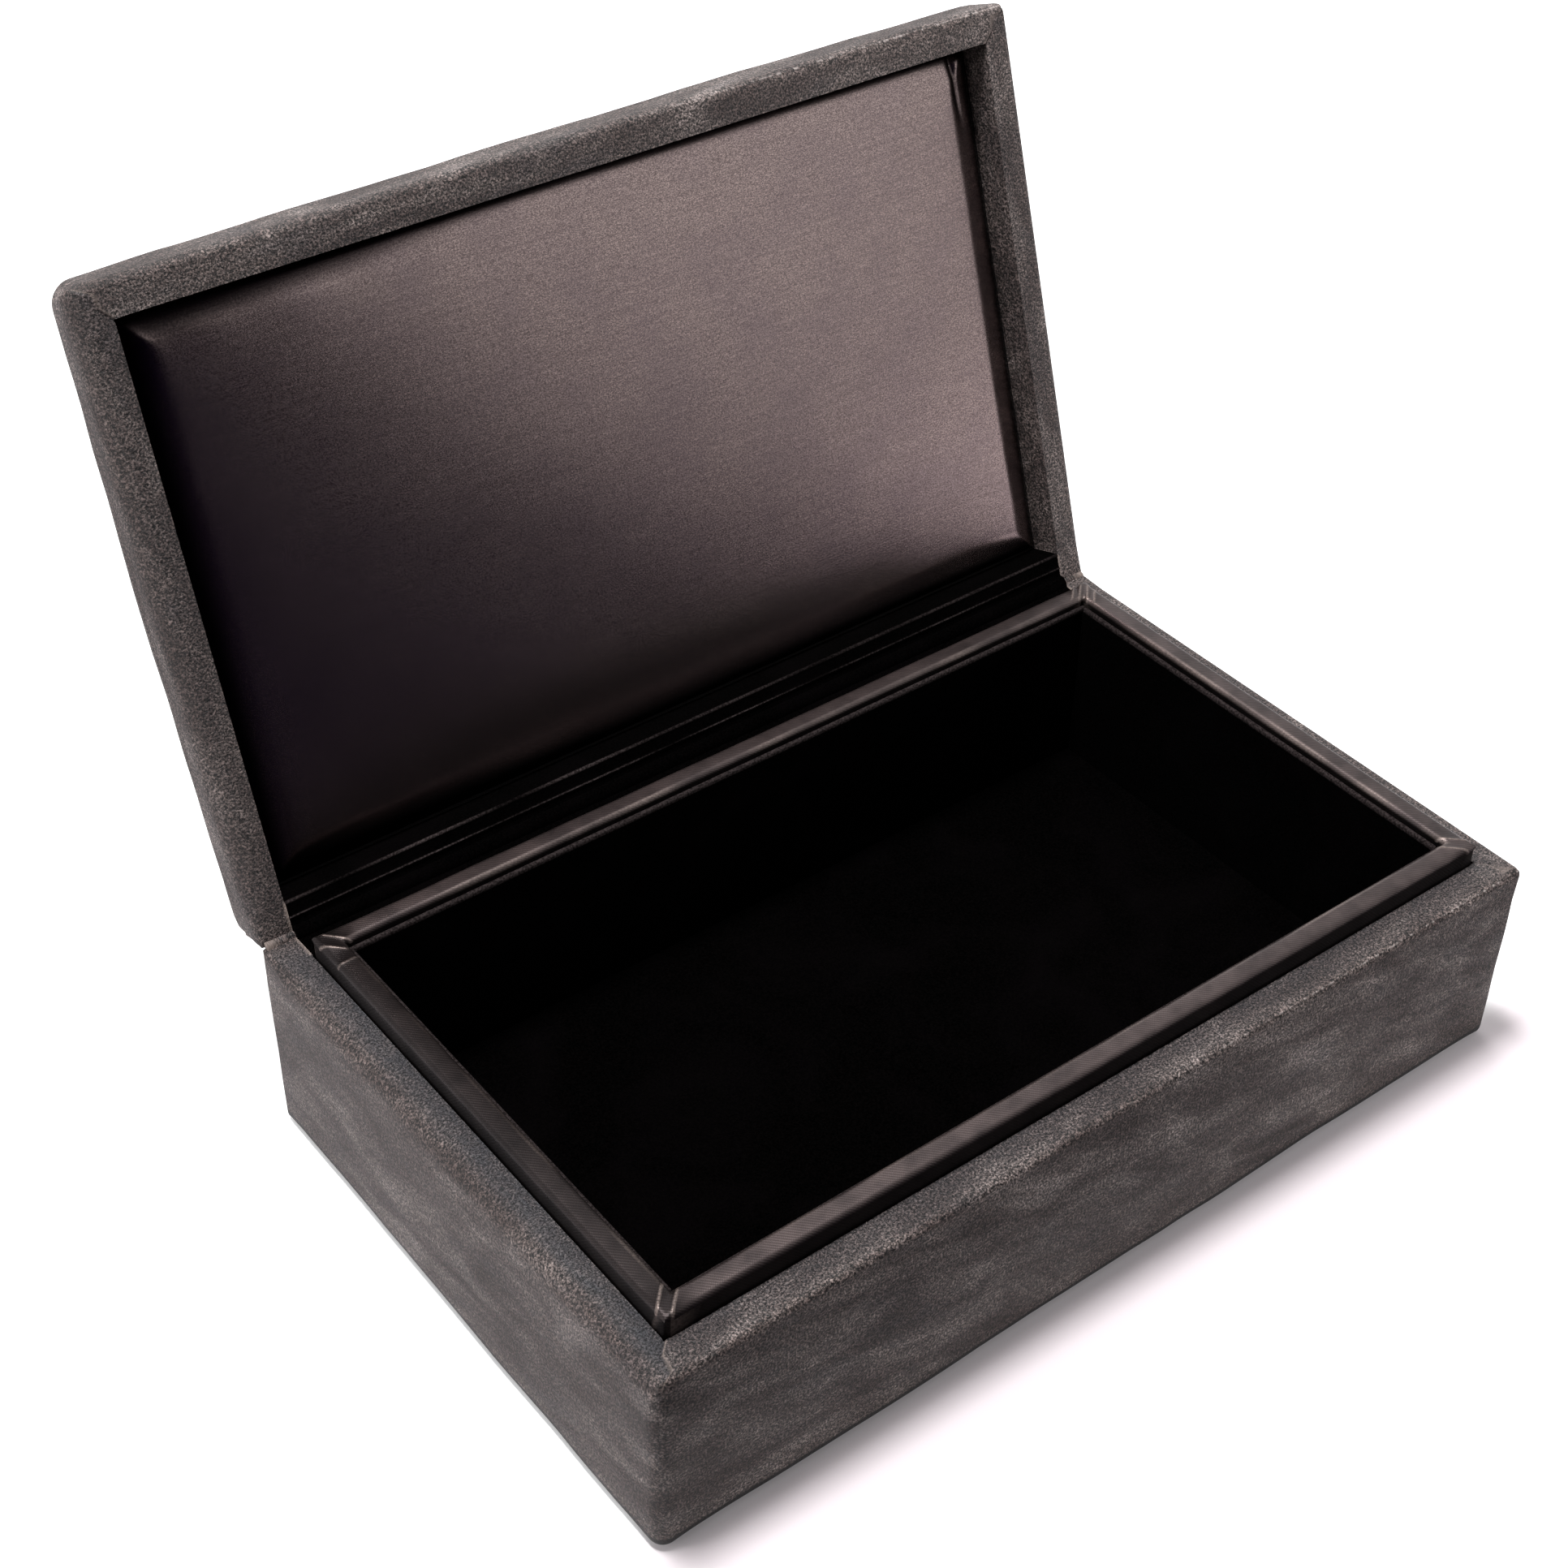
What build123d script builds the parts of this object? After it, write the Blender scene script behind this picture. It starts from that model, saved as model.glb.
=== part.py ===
from build123d import *
import math
import os

# Shielded key box, open on its fabric hinge. Millimetres.
# The box stands on Z = 0, centred on X and Y. Its long front faces -Y, and its hinge runs along X
# at the top of its back. Sizes in the lid are depths from the lid's rim towards its outer top.

# Driving dimensions
box_length = 200.0
box_width = 121.0
box_height = 43.0
lid_thickness = 12.5
lip_height = 4.5
open_angle = 108.0

# Sheets, boards and soft layers
leather = 0.8
foam = 2.0
cloth = 0.3
velvet = 1.0
wall_board = 3.0
lip_board = 3.7
base_board_thickness = 4.0
floor_board_thickness = 1.5
lid_board_thickness = 2.0
cushion_board_thickness = 1.0
base_cover_thickness = 1.0

# Clearances
rim_gap = 0.3
lip_clearance = 0.3
cushion_clearance = 0.5
closing_clearance = 0.6
strip_clearance = 0.1

# Turned edges and rounding
turn_in = 12.0
turn_under = 15.0
base_cover_inset = 3.0
base_cover_corner = 4.0
lip_cloth_drop = 17.5
velvet_setback = 1.7
spine_reach = 8.0
base_edge = 0.6
lip_edge = 1.0
velvet_edge = 0.4
strip_edge = 0.5

# Lid cushion
cushion_crown = 1.3
cushion_draw_in = 0.5
cushion_edge = 0.8

# Distances in from the outer leather to the layers of a wall
foam_face = leather
board_face = foam_face + foam
board_back = board_face + wall_board
turned_face = board_back + leather
lip_face = turned_face + lip_clearance
lip_board_face = lip_face + cloth
lip_board_back = lip_board_face + lip_board
lip_back = lip_board_back + cloth
velvet_face = lip_back + velvet
cushion_face = turned_face + cushion_clearance

# Heights of the layers under and in the box
leather_bottom = base_cover_thickness
base_board_bottom = leather_bottom + leather
base_board_top = base_board_bottom + base_board_thickness
tray_floor_top = base_board_top + cloth
floor_board_top = tray_floor_top + floor_board_thickness
rim_board_top = box_height - leather
lip_top = box_height + lip_height
lip_board_top = lip_top - cloth
lip_cloth_bottom = lip_top - lip_cloth_drop
velvet_top = lip_top - velvet_setback

# Depths of the layers in the lid
lid_foam_top = lid_thickness - leather
lid_board_top = lid_foam_top - foam
lid_board_bottom = lid_board_top - lid_board_thickness
lid_sheet_face = lid_board_bottom - cloth
cushion_board_face = lid_sheet_face - cushion_board_thickness
cushion_shoulder = lip_height - rim_gap + closing_clearance

# Rounding of the padded walls: the foam is rounded within its thickness, the leather follows it
foam_corner = 0.9 * foam
foam_edge = 0.8 * foam
leather_corner = foam_corner + leather
leather_edge = foam_edge + leather

# The hinge line lies in the plane of the back's outer leather, half way between the rims.
# The spine spans the back between its rounded corners, the strip between the side rims.
hinge_rise = rim_gap / 2
hinge_line = Vector(0, box_width / 2, box_height + hinge_rise)
lean = math.radians(open_angle)
lid_outward = Vector(0, math.sin(lean), math.cos(lean))
lid_hinge_plane = Plane(origin=hinge_line, x_dir=(1, 0, 0), z_dir=lid_outward)
hinge_section = Plane(origin=hinge_line, x_dir=(0, 1, 0), z_dir=(1, 0, 0))
spine_half_length = box_length / 2 - leather_corner
strip_half_length = box_length / 2 - turned_face


def box_level(height):
    """Plane across the box at a height above the table."""
    return Plane.XY.offset(height)


def lid_level(depth):
    """Plane across the lid at a depth from its rim, centred on the lid."""
    centre = lid_hinge_plane.from_local_coords((0, -box_width / 2, hinge_rise + depth))
    return Plane(origin=centre, x_dir=(1, 0, 0), z_dir=lid_outward)


def finish(piece, name):
    """Name a finished piece and write it out."""
    piece.part.label = name
    export_step(piece.part, f"parts/{name}.step")


def inset_rectangle(inset, mode=Mode.ADD):
    """Rectangle at a distance in from the outer leather."""
    Rectangle(box_length - 2 * inset, box_width - 2 * inset, mode=mode)


def side_rectangle(side, outer, inner):
    """One side of a frame: the long sides run through, the short ones fit between them."""
    middle = (outer + inner) / 2
    along_x = {"left": -1, "right": 1}.get(side, 0)
    along_y = {"front": -1, "back": 1}.get(side, 0)
    with Locations((along_x * (box_length / 2 - middle), along_y * (box_width / 2 - middle))):
        if along_y:
            Rectangle(box_length - 2 * outer, inner - outer)
        else:
            Rectangle(inner - outer, box_width - 2 * inner)


def soft_block(level, inset, corner, height, first_edge, last_edge):
    """Block on a plane, rounded at its corners and round its first and last faces."""
    up = Axis(level.origin, level.z_dir)
    with BuildPart() as block:
        with BuildSketch(level):
            RectangleRounded(box_length - 2 * inset, box_width - 2 * inset, corner)
        extrude(amount=height)
        fillet(block.edges().group_by(up)[-1], last_edge)
        fillet(block.edges().group_by(up)[0], first_edge)
    return block.part


def frame_block(level, outer, inner, height, last_edge):
    """Rectangular frame on a plane, with both edges of its last face rounded."""
    up = Axis(level.origin, level.z_dir)
    with BuildPart() as frame:
        with BuildSketch(level):
            inset_rectangle(outer)
            inset_rectangle(inner, mode=Mode.SUBTRACT)
        extrude(amount=height)
        fillet(frame.edges().group_by(up)[-1], last_edge)
    return frame.part


def side_of_block(block, level, side, outer, inner, height):
    """The piece of a block that one side takes up."""
    with BuildPart() as piece:
        add(block)
        with BuildSketch(level):
            side_rectangle(side, outer, inner)
        extrude(amount=height, mode=Mode.INTERSECT)
    return piece


def leather_wrap(skin, padding, rim_level, depth_direction, turned_depth, open_depth):
    """Leather over a padded block: open at the rim, turned in round the inside of the walls."""
    with BuildPart() as wrap:
        add(skin)
        add(padding, mode=Mode.SUBTRACT)
        with BuildSketch(rim_level):
            inset_rectangle(turned_face)
        extrude(amount=depth_direction * open_depth, mode=Mode.SUBTRACT)
        with BuildSketch(rim_level.offset(depth_direction * leather)):
            inset_rectangle(board_back)
            inset_rectangle(turned_face, mode=Mode.SUBTRACT)
        extrude(amount=depth_direction * turned_depth)
        # Along the hinge the velvet strip covers the rim and the inside of the wall.
        with BuildSketch(rim_level):
            with Locations((0, box_width / 2 - (turned_face + leather) / 2)):
                Rectangle(2 * strip_half_length, turned_face - leather)
        extrude(amount=depth_direction * (leather + turned_depth), mode=Mode.SUBTRACT)
        # The spine takes the place of the outer leather next to the hinge.
        with BuildSketch(rim_level.offset(-depth_direction * hinge_rise)):
            with Locations((0, box_width / 2)):
                Rectangle(2 * spine_half_length, 2 * leather)
        extrude(amount=depth_direction * spine_reach, mode=Mode.SUBTRACT)
    return wrap


def on_lid(along, depth):
    """Point of the hinge's cross-section, at a distance up the lid and a depth into it."""
    return (
        -along * math.cos(lean) + depth * math.sin(lean),
        along * math.sin(lean) + depth * math.cos(lean),
    )


def fold_arc(radius, start, end):
    """Arc round the hinge line, from the lid's side to the box's side."""
    middle = math.pi - lean / 2
    ThreePointArc(start, (radius * math.cos(middle), radius * math.sin(middle)), end)


def cushion_section(share, inset, base, shoulder):
    """Outline across the cushion, at a share of its half length from its middle: flat base,
    soft edges and one crowned arc."""
    bow = 1 - share * share
    half_width = box_width / 2 - inset - cushion_draw_in * bow
    crown = cushion_crown * (0.1 + 0.9 * bow)
    side = half_width - cushion_edge
    corner = cushion_edge * (1 - math.sqrt(0.5))
    centre = lid_level(0).from_local_coords((share * (box_length / 2 - inset), 0, 0))
    with BuildSketch(Plane(origin=centre, x_dir=lid_level(0).y_dir, z_dir=(1, 0, 0))) as section:
        with BuildLine():
            Line((half_width, base), (-half_width, base))
            Line((-half_width, base), (-half_width, shoulder + cushion_edge))
            ThreePointArc(
                (-half_width, shoulder + cushion_edge),
                (-half_width + corner, shoulder + corner),
                (-side, shoulder),
            )
            ThreePointArc((-side, shoulder), (0, shoulder - crown), (side, shoulder))
            ThreePointArc(
                (side, shoulder),
                (half_width - corner, shoulder + corner),
                (half_width, shoulder + cushion_edge),
            )
            Line((half_width, shoulder + cushion_edge), (half_width, base))
        make_face()
    return section.sketch


def cushion_form(inset, base, shoulder):
    """Crowned cushion whose long sides draw in between its corners."""
    shares = (-1.0, -0.9, -0.5, 0.0, 0.5, 0.9, 1.0)
    with BuildPart() as form:
        loft([cushion_section(share, inset, base, shoulder) for share in shares])
    return form.part


os.makedirs("parts", exist_ok=True)
sides = ("front", "back", "left", "right")

# Box: base
with BuildPart() as base_cover:
    with BuildSketch():
        RectangleRounded(
            box_length - 2 * base_cover_inset,
            box_width - 2 * base_cover_inset,
            base_cover_corner,
        )
    extrude(amount=base_cover_thickness)
finish(base_cover, "base_cover")

with BuildPart() as base_board:
    with BuildSketch(box_level(base_board_bottom)):
        inset_rectangle(board_face)
    extrude(amount=base_board_thickness)
finish(base_board, "base_board")

# Box: outer walls, with foam outside them and leather over the foam
box_padding_level = box_level(base_board_bottom)
box_padding_height = rim_board_top - base_board_bottom
box_padding = soft_block(
    box_padding_level, foam_face, foam_corner, box_padding_height, base_edge, foam_edge
)
for side in sides:
    with BuildPart() as wall:
        with BuildSketch(box_level(base_board_top)):
            side_rectangle(side, board_face, board_back)
        extrude(amount=rim_board_top - base_board_top)
    finish(wall, f"{side}_wall_board")

    foam_pad = side_of_block(
        box_padding, box_padding_level, side, foam_face, board_face, box_padding_height
    )
    finish(foam_pad, f"{side}_foam_pad")

box_skin = soft_block(
    box_level(leather_bottom),
    0,
    leather_corner,
    box_height - leather_bottom,
    base_edge + leather,
    leather_edge,
)
box_wrap = leather_wrap(box_skin, box_padding, box_level(box_height), -1, turn_in, leather)
with BuildPart() as box_leather_cover:
    add(box_wrap.part)
    with BuildSketch(box_level(leather_bottom)):
        inset_rectangle(turn_under)
    extrude(amount=leather, mode=Mode.SUBTRACT)
finish(box_leather_cover, "box_leather_cover")

# Box: inner walls, which stand past the rim as the lip, wrapped in shielding cloth
lip_block = frame_block(
    box_level(base_board_top),
    lip_board_face,
    lip_board_back,
    lip_board_top - base_board_top,
    lip_edge,
)
for side in sides:
    lip_wall = side_of_block(
        lip_block,
        box_level(base_board_top),
        side,
        lip_board_face,
        lip_board_back,
        lip_board_top - base_board_top,
    )
    finish(lip_wall, f"{side}_lip_board")

with BuildPart() as lip_shield_cover:
    add(frame_block(box_level(lip_cloth_bottom), lip_face, lip_back, lip_cloth_drop, lip_edge + cloth))
    add(lip_block, mode=Mode.SUBTRACT)
finish(lip_shield_cover, "lip_shield_cover")

with BuildPart() as shield_tray:
    with BuildSketch(box_level(base_board_top)):
        inset_rectangle(lip_board_back)
    extrude(amount=lip_cloth_bottom - base_board_top)
    with BuildSketch(box_level(tray_floor_top)):
        inset_rectangle(lip_back)
    extrude(amount=lip_cloth_bottom - tray_floor_top, mode=Mode.SUBTRACT)
finish(shield_tray, "shield_tray")

# Box: velvet floor and walls
with BuildPart() as floor_board:
    with BuildSketch(box_level(tray_floor_top)):
        inset_rectangle(velvet_face)
    extrude(amount=floor_board_thickness)
finish(floor_board, "floor_board")

with BuildPart() as floor_velvet:
    with BuildSketch(box_level(floor_board_top)):
        inset_rectangle(velvet_face)
    extrude(amount=velvet)
finish(floor_velvet, "floor_velvet")

for side in sides:
    with BuildPart() as velvet_panel:
        with BuildSketch(box_level(tray_floor_top)):
            side_rectangle(side, lip_back, velvet_face)
        extrude(amount=velvet_top - tray_floor_top)
        top_edges = velvet_panel.edges().group_by(Axis.Z)[-1]
        fillet(top_edges.sort_by(Axis.Z).sort_by_distance((0, 0, velvet_top))[0], velvet_edge)
    finish(velvet_panel, f"{side}_velvet_panel")

# Hinge: leather spine outside, velvet strip inside
with BuildPart() as leather_spine:
    with BuildSketch(hinge_section):
        with BuildLine():
            Polyline((-leather, 0), (-leather, -spine_reach), (0, -spine_reach), (0, 0))
            Polyline((0, 0), on_lid(0, spine_reach), on_lid(leather, spine_reach), on_lid(leather, 0))
            fold_arc(leather, on_lid(leather, 0), (-leather, 0))
        make_face()
    extrude(amount=spine_half_length, both=True)
finish(leather_spine, "leather_spine")

strip_under = hinge_rise + leather
strip_inner = leather + strip_clearance
strip_outer = strip_inner + leather
strip_meets_rim = math.sqrt(strip_outer**2 - hinge_rise**2)
lid_strip_end = hinge_rise + lid_sheet_face
with BuildPart() as hinge_strip:
    with BuildSketch(hinge_section) as strip_profile:
        with BuildLine():
            Polyline(
                (-strip_inner, 0),
                (-strip_inner, -strip_under),
                (-board_back, -strip_under),
                (-board_back, -strip_under - turn_in),
                (-turned_face, -strip_under - turn_in),
                (-turned_face, -hinge_rise),
                (-strip_meets_rim, -hinge_rise),
            )
            fold_arc(strip_outer, (-strip_meets_rim, -hinge_rise), on_lid(strip_meets_rim, hinge_rise))
            Polyline(
                on_lid(strip_meets_rim, hinge_rise),
                on_lid(turned_face, hinge_rise),
                on_lid(turned_face, lid_strip_end),
                on_lid(board_back, lid_strip_end),
                on_lid(board_back, strip_under),
                on_lid(strip_inner, strip_under),
                on_lid(strip_inner, 0),
            )
            fold_arc(strip_inner, on_lid(strip_inner, 0), (-strip_inner, 0))
        make_face()
        for rim_corner in ((-turned_face, -hinge_rise), on_lid(turned_face, hinge_rise)):
            fillet(strip_profile.vertices().sort_by_distance(rim_corner)[0], strip_edge)
    extrude(amount=strip_half_length - strip_clearance, both=True)
finish(hinge_strip, "hinge_strip")

# Lid: top board and rails
with BuildPart() as lid_top_board:
    with BuildSketch(lid_level(lid_board_bottom)):
        inset_rectangle(board_face)
    extrude(amount=lid_board_thickness)
finish(lid_top_board, "lid_top_board")

for side in sides:
    with BuildPart() as rail:
        with BuildSketch(lid_level(leather)):
            side_rectangle(side, board_face, board_back)
        extrude(amount=lid_board_bottom - leather)
    finish(rail, f"lid_{side}_rail")

# Lid: foam over the board and outside the rails, with leather over the foam
lid_padding = soft_block(
    lid_level(leather), foam_face, foam_corner, lid_foam_top - leather, foam_edge, foam_edge
)
for side in sides:
    foam_strip = side_of_block(
        lid_padding, lid_level(leather), side, foam_face, board_face, lid_board_top - leather
    )
    finish(foam_strip, f"lid_{side}_foam")

with BuildPart() as lid_top_foam:
    add(lid_padding)
    with BuildSketch(lid_level(lid_board_top)):
        inset_rectangle(foam_face)
    extrude(amount=foam, mode=Mode.INTERSECT)
finish(lid_top_foam, "lid_top_foam")

lid_skin = soft_block(
    lid_level(0), 0, leather_corner, lid_thickness, leather_edge, leather_edge
)
lid_leather_cover = leather_wrap(
    lid_skin, lid_padding, lid_level(0), 1, lid_sheet_face - leather, leather
)
finish(lid_leather_cover, "lid_leather_cover")

# Lid: shielding sheet and the cushion in the recess
with BuildPart() as lid_shield_sheet:
    with BuildSketch(lid_level(lid_sheet_face)):
        inset_rectangle(board_back)
    extrude(amount=cloth)
finish(lid_shield_sheet, "lid_shield_sheet")

with BuildPart() as cushion_board:
    with BuildSketch(lid_level(cushion_board_face)):
        inset_rectangle(cushion_face + cloth)
    extrude(amount=cushion_board_thickness)
finish(cushion_board, "cushion_board")

with BuildPart() as cushion_foam:
    add(cushion_form(cushion_face + cloth, cushion_board_face, cushion_shoulder + cloth))
finish(cushion_foam, "cushion_foam")

with BuildPart() as cushion_cover:
    add(cushion_form(cushion_face, lid_sheet_face, cushion_shoulder))
    add(cushion_foam.part, mode=Mode.SUBTRACT)
    add(cushion_board.part, mode=Mode.SUBTRACT)
finish(cushion_cover, "cushion_cover")
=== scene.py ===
import math

import bmesh
import bpy
from mathutils import Matrix, Vector, noise


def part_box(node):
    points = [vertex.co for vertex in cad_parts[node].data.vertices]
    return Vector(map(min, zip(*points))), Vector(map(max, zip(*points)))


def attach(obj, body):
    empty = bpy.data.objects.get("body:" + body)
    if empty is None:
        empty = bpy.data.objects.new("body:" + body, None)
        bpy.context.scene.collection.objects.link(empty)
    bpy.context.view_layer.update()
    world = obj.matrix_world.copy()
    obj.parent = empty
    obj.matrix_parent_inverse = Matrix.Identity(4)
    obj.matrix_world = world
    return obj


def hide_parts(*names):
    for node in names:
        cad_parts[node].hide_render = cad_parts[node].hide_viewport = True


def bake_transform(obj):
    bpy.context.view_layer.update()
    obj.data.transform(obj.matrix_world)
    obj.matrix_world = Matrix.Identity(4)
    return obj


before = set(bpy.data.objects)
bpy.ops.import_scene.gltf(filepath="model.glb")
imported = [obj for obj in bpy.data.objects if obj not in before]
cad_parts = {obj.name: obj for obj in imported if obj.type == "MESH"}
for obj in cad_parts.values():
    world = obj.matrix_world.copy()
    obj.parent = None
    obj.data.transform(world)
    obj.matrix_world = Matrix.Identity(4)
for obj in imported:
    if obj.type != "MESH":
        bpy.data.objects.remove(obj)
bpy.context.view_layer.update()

# Sizes of the key box, in metres
mm = 0.001
half_length = 100 * mm
half_width = 60.5 * mm
box_height = 43 * mm
rim_width = 6.6 * mm
rim_rise = 0.15 * mm

# Leather: its depth on box and lid, how far it is turned in, and the radii of its edges
leather_thickness = 0.8 * mm
box_leather_depth = 42 * mm
box_turned_in = 12.8 * mm
foot_width = 15 * mm
foot_radius = 1.4 * mm
lid_thickness = 12.5 * mm
lid_turned_in = 7.4 * mm
soft_edge = 4.5 * mm
right_edge = 2 * mm
front_edge = 1.5 * mm
lid_front_edge = 2 * mm
loose_corner = 3 * mm
hinge_edge = 0.8 * mm
hinge_corner = 0.8 * mm

# Hinge, and the raised lip with its cloth
spine_reach = 7.85 * mm
spine_half_length = 99.2 * mm
strip_half_length = 93.3 * mm
strip_thickness = 0.8 * mm
lip_x, lip_y = half_length - 6.9 * mm, half_width - 6.9 * mm
hollow_x, hollow_y = half_length - 11.2 * mm, half_width - 11.2 * mm
lip_top = 47.5 * mm
lip_cloth_bottom = 30 * mm
lip_overlap = 44.6 * mm
cloth_thickness = 0.3 * mm

# Inside of the lid: insets from its sides, and levels up from its rim
cushion_inset = 7.2 * mm
cushion_shoulder = 4.9 * mm
cushion_base = 7.4 * mm
cushion_crown = 1.3 * mm
swell_steps = 20
filling_inset = 9.5 * mm
filling_shoulder = 6 * mm
filling_base = 6.7 * mm
filling_crown = 1.2 * mm
card_inset = 8 * mm
card_levels = (6.75 * mm, 7.38 * mm)
lining_inset = 5.8 * mm
lining_levels = (7.42 * mm, 7.7 * mm)
pad_inset = 2.8 * mm
lid_pad_levels = (leather_thickness, 9.7 * mm)
top_pad_levels = (9.7 * mm, 11.7 * mm)

# The lid leans back round the hinge line. Box and lid leather are both shaped with their rim on
# z = 0 and their depth along +z, and are then put in place.
lean = math.radians(108)
hinge_line = Vector((0, half_width, box_height + rim_rise))
up_the_lid = Vector((0, -math.cos(lean), math.sin(lean)))
out_of_lid = Vector((0, math.sin(lean), math.cos(lean)))
lid_centre = hinge_line + half_width * up_the_lid + rim_rise * out_of_lid
on_lid = Matrix(
    (
        (1, 0, 0, lid_centre.x),
        (0, -up_the_lid.y, out_of_lid.y, lid_centre.y),
        (0, -up_the_lid.z, out_of_lid.z, lid_centre.z),
        (0, 0, 0, 1),
    )
)
on_box = Matrix(((1, 0, 0, 0), (0, -1, 0, 0), (0, 0, -1, box_height), (0, 0, 0, 1)))
in_place = Matrix.Identity(4)


# Measures
def middle(edge):
    return (edge.verts[0].co + edge.verts[1].co) / 2


def near(value, target, reach=0.02 * mm):
    return abs(value - target) < reach


def looks_up(face):
    return face.normal.z > 0.9


def looks_down(face):
    return face.normal.z < -0.9


def clamp(value):
    return max(0.0, min(1.0, value))


def ease(value, start, end):
    """0 before the start, 1 after the end, smooth between."""
    share = clamp((value - start) / (end - start))
    return share * share * (3 - 2 * share)


def bell(value, centre, width):
    """1 at the centre, falling smoothly to both sides."""
    return math.exp(-(((value - centre) / width) ** 2))


def uneven(x, y, z):
    """Smooth unevenness at a place, from -1 to 1."""
    return noise.noise(Vector((x, y, z)))


def inset_of(place, edge=0.0):
    """How far a place lies in from the nearer end and the nearer long side of an outline."""
    return half_length - edge - abs(place.x), half_width - edge - abs(place.y)


def past_seam(place):
    """How far a place is past the nearest corner seam, positive on the front's or back's side."""
    from_end, from_long = inset_of(place)
    return (from_end - from_long) / math.sqrt(2)


# Working a piece by hand
def begin(add, name, scale=(1, 1, 1), **settings):
    """New primitive with its size and place in its mesh, open in edit mode."""
    bpy.ops.object.select_all(action="DESELECT")
    add(**settings)
    piece = bpy.context.object
    piece.name = piece.data.name = name
    piece.scale = scale
    bpy.ops.object.transform_apply(location=True, rotation=True, scale=True)
    bpy.ops.object.mode_set(mode="EDIT")
    return piece


def block(name, low, high):
    """Block between two corners, open in edit mode."""
    low, high = Vector(low), Vector(high)
    add_cube = bpy.ops.mesh.primitive_cube_add
    return begin(add_cube, name, high - low, size=1, location=(low + high) / 2)


def choose_all():
    bpy.ops.mesh.select_all(action="SELECT")


def close():
    """Leave edit mode."""
    bpy.ops.object.mode_set(mode="OBJECT")


def close_outwards():
    """Turn all faces the same way, outwards, and leave edit mode."""
    choose_all()
    bpy.ops.mesh.normals_make_consistent(inside=False)
    close()


def choose(piece, kind, wanted):
    """Select the vertices, edges or faces that the test wants."""
    bpy.ops.mesh.select_mode(type=kind)
    bpy.ops.mesh.select_all(action="DESELECT")
    shape = bmesh.from_edit_mesh(piece.data)
    for part in {"VERT": shape.verts, "EDGE": shape.edges, "FACE": shape.faces}[kind]:
        part.select_set(wanted(part))
    shape.select_flush_mode()
    bmesh.update_edit_mesh(piece.data)


def delete_faces(piece, wanted):
    choose(piece, "FACE", wanted)
    bpy.ops.mesh.delete(type="FACE")


def extrude(*move):
    """Draw what is selected out by a move."""
    bpy.ops.mesh.extrude_region_move(TRANSFORM_OT_translate={"value": move})


def open_up(piece, wanted, rim, depth=0):
    """Leave a rim round the wanted face, turn it in to a depth and take the middle away."""
    choose(piece, "FACE", wanted)
    bpy.ops.mesh.inset(thickness=rim)
    if depth:
        extrude(0, 0, depth)
    bpy.ops.mesh.delete(type="FACE")


def bevel(radius, segments):
    """Round what is selected."""
    bpy.ops.mesh.bevel(offset=radius, segments=segments, affect="EDGES")


def cut_across(direction, places):
    """Cut the whole piece square to a direction at each distance."""
    direction = Vector(direction)
    for place in places:
        choose_all()
        bpy.ops.mesh.bisect(plane_co=direction * place, plane_no=direction)


def cut_faces(piece, wanted, origin, direction, offsets):
    """Cut the faces that the test wants square to a direction, at offsets in mm from a point."""
    for offset in offsets:
        choose(piece, "FACE", wanted)
        bpy.ops.mesh.bisect(plane_co=origin + offset * mm * direction, plane_no=direction)


def cut_evenly(low, high, spacing, shortest):
    """Cut a piece into even steps along each of its ways that is longer than the shortest."""
    for axis in range(3):
        size = high[axis] - low[axis]
        if size > shortest:
            direction = Vector((axis == 0, axis == 1, axis == 2))
            count = max(2, round(size / spacing))
            cut_across(direction, [low[axis] + size * step / count for step in range(1, count)])


def steps(reach, spacing):
    """Even places from minus reach to reach, without the ends."""
    count = max(2, round(2 * reach / spacing))
    return [reach * (2 * step / count - 1) for step in range(1, count)]


def cut_grid(half_x, half_y, spacing):
    """Cut the whole piece into even squares, seen from above."""
    cut_across((1, 0, 0), steps(half_x, spacing))
    cut_across((0, 1, 0), steps(half_y, spacing))


def thicken(piece, thickness):
    """Give a skin its thickness, inwards."""
    solidify = piece.modifiers.new("thickness", "SOLIDIFY")
    solidify.thickness = thickness
    solidify.offset = -1
    bpy.ops.object.modifier_apply(modifier=solidify.name)


def smooth(degrees=40):
    bpy.ops.object.shade_smooth_by_angle(angle=math.radians(degrees))


def shift_points(piece, shift):
    """Move each point by what the function gives for its place and normal."""
    for point in piece.data.vertices:
        point.co = point.co + shift(point.co, point.normal)
    piece.data.update()


def crown(piece, height, share):
    """Raise the faces that look into the lid by the share that the function gives."""
    shift_points(
        piece,
        lambda place, normal: Vector((0, 0, -height * share(place) * max(0, -normal.z))),
    )


def add_marks(piece, names, kind="FLOAT"):
    """Give the piece's points marks of these names, and return them in that order."""
    for name in names:
        piece.data.attributes.new(name, kind, "POINT")
    return [piece.data.attributes[name].data for name in names]


def write_mark(piece, name, amount):
    """Mark each point with what the function gives for its place."""
    for mark, point in zip(add_marks(piece, [name])[0], piece.data.vertices):
        mark.value = amount(point.co)


def lay_out_hide(piece):
    """Keep each point's place on the piece, for the leather's pattern to follow."""
    for hide, point in zip(add_marks(piece, ["hide"], "FLOAT_VECTOR")[0], piece.data.vertices):
        hide.vector = point.co


def dress(piece, finish):
    piece.data.materials.clear()
    piece.data.materials.append(finish)


def put(piece, place, body, finish, node):
    """Set a finished piece in its place on its body, with its finish, for the node it replaces."""
    piece.data.transform(place)
    dress(piece, finish)
    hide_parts(node)
    if body:
        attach(piece, body)


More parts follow.
